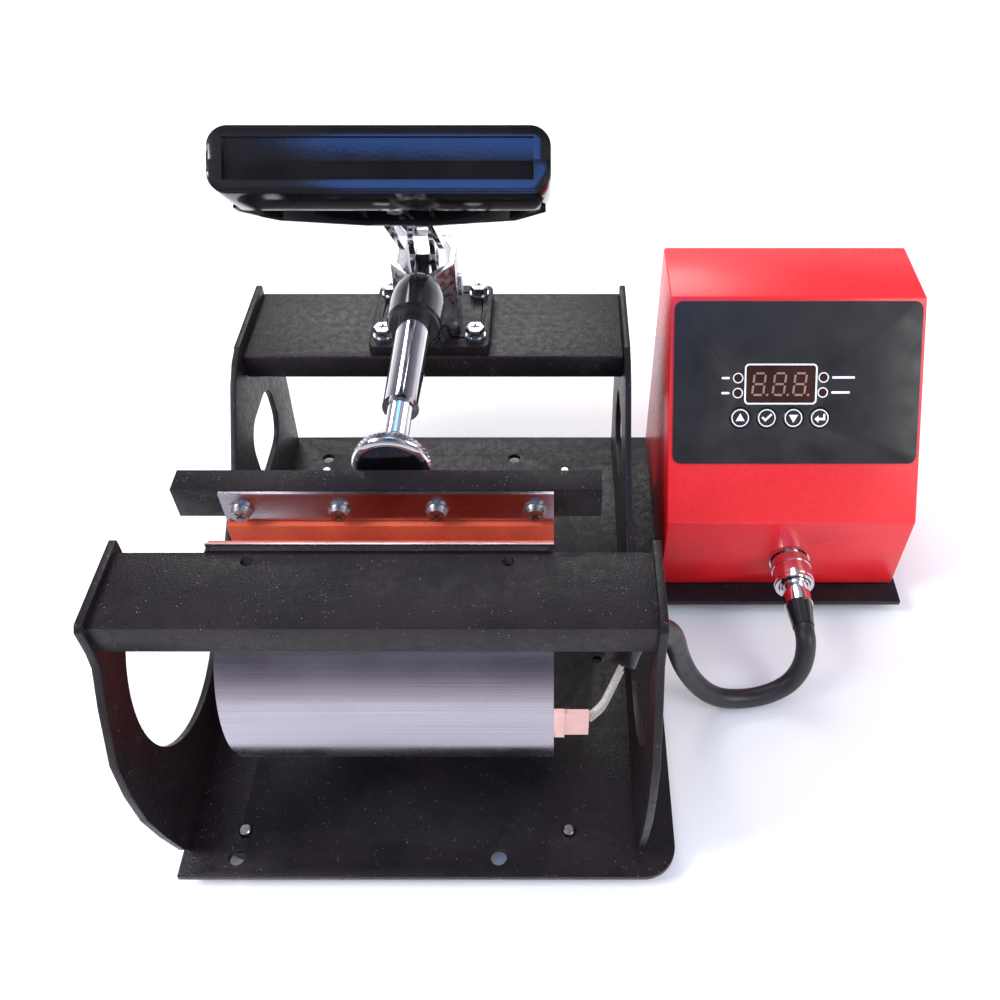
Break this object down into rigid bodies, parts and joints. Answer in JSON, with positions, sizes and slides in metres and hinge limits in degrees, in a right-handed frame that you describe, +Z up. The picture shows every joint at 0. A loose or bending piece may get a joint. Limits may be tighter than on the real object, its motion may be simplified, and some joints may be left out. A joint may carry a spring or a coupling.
{
  "type": "mug heat press",
  "caption": "Lever-clamped heat press that wraps a flexible heater round a mug, with a control box on the same base plate.",
  "frame": {"origin": "centre of the footprint, at the underside of the rubber feet", "axes": "+X to the operator's right, +Y away from the operator, +Z up"},
  "size_m": [0.339, 0.273, 0.2561],
  "materials": {
    "frame_black": "hammertone black powder coat",
    "rubber": "matt",
    "zinc": "bright zinc plate",
    "stainless": "brushed stainless sheet",
    "silicone": "porous orange-red silicone",
    "silicone_pale": "pale silicone",
    "braid": "glass-fibre braid",
    "black_plastic": "moulded black plastic",
    "cord_black": "satin black jacket",
    "chrome": "polished chrome plate",
    "box_red": "satin red powder coat",
    "overlay_black": "matt printed polyester",
    "display_dark": "dark glossy window",
    "display_pink": "unlit segments",
    "board_green": "solder mask",
    "grip_black": "polished phenolic",
    "switch_red": "moulded red"
  },
  "bodies": {
    "frame": {"base_plate": "frame_black", "side_plate_left": "frame_black", "side_plate_right": "frame_black", "front_crossbar": "frame_black", "rear_crossbar": "frame_black", "rubber_feet": "rubber", "feet_screws": "zinc", "front_clamp_strip": "frame_black", "front_flange_screws": "zinc", "front_flange_nuts": "zinc", "heater_sheet_front": "stainless", "heater_pad_front": "silicone", "heater_lead_tab": "silicone_pale", "heater_leads": "braid", "clamp_base": "frame_black", "clamp_bolts": "zinc", "clamp_washers": "zinc", "bracket_left": "zinc", "bracket_right": "zinc", "guide_bush": "black_plastic", "lever_pin": "zinc", "heater_cord": "cord_black", "cord_plug": "chrome", "plug_collar": "chrome", "cord_strain_relief": "black_plastic", "panel_socket": "chrome", "socket_nut": "chrome", "box_shell": "box_red", "box_back": "box_red", "box_screws": "zinc", "control_overlay": "overlay_black", "display_window": "display_dark", "display_digits": "display_pink", "indicator_leds": "display_dark", "control_board": "board_green", "power_relay": "black_plastic", "power_inlet": "black_plastic", "power_switch_frame": "black_plastic"},
    "lever": {"lever": "chrome", "grip_upper": "grip_black", "grip_lower": "grip_black", "grip_cradle": "grip_black", "grip_screw": "zinc"},
    "plunger": {"plunger": "chrome", "plunger_stud": "chrome", "plunger_pin": "zinc"},
    "knob": {"pressure_knob": "chrome"},
    "jaw": {"press_bar": "frame_black", "heater_sheet_rear": "stainless", "heater_pad_rear": "silicone", "rear_clamp_strip": "stainless", "rear_flange_screws": "zinc", "rear_flange_washers": "zinc"},
    "up_key": {"key_up": "overlay_black"},
    "ok_key": {"key_ok": "overlay_black"},
    "down_key": {"key_down": "overlay_black"},
    "enter_key": {"key_enter": "overlay_black"},
    "rocker": {"power_rocker": "switch_red"}
  },
  "joints": [
    {"name": "lever_swing", "type": "hinge", "parent": "frame", "child": "lever", "pos_m": [-0.0735, 0.1065, 0.139], "axis": [1, 0, 0], "range_deg": [0, 20]},
    {"name": "plunger_slide", "type": "slide", "parent": "frame", "child": "plunger", "axis": [0, -1, 0], "range_m": [0, 0.00605]},
    {"name": "knob_turn", "type": "hinge", "parent": "plunger", "child": "knob", "pos_m": [-0.0735, -0.0335, 0.1545], "axis": [0, -1, 0], "continuous": true},
    {"name": "jaw_hinge", "type": "hinge", "parent": "frame", "child": "jaw", "pos_m": [-0.0735, -0.0675, 0.0379], "axis": [1, 0, 0], "range_deg": [0, 2.26]},
    {"name": "up_press", "type": "slide", "parent": "frame", "child": "up_key", "axis": [0, 0.7764, -0.6302], "range_m": [0, 0.0005], "stiffness_N_per_m": 300},
    {"name": "ok_press", "type": "slide", "parent": "frame", "child": "ok_key", "axis": [0, 0.7764, -0.6302], "range_m": [0, 0.0005], "stiffness_N_per_m": 300},
    {"name": "down_press", "type": "slide", "parent": "frame", "child": "down_key", "axis": [0, 0.7764, -0.6302], "range_m": [0, 0.0005], "stiffness_N_per_m": 300},
    {"name": "enter_press", "type": "slide", "parent": "frame", "child": "enter_key", "axis": [0, 0.7764, -0.6302], "range_m": [0, 0.0005], "stiffness_N_per_m": 300},
    {"name": "rocker_tilt", "type": "hinge", "parent": "frame", "child": "rocker", "pos_m": [0.0785, 0.1275, 0.045], "axis": [0, 0, 1], "range_deg": [-8, 8]}
  ],
  "couplings": [
    {"joint": "plunger_slide", "follows": "lever_swing", "m_per_rad": 0.01727},
    {"joint": "jaw_hinge", "follows": "lever_swing", "ratio": 0.1125}
  ]
}
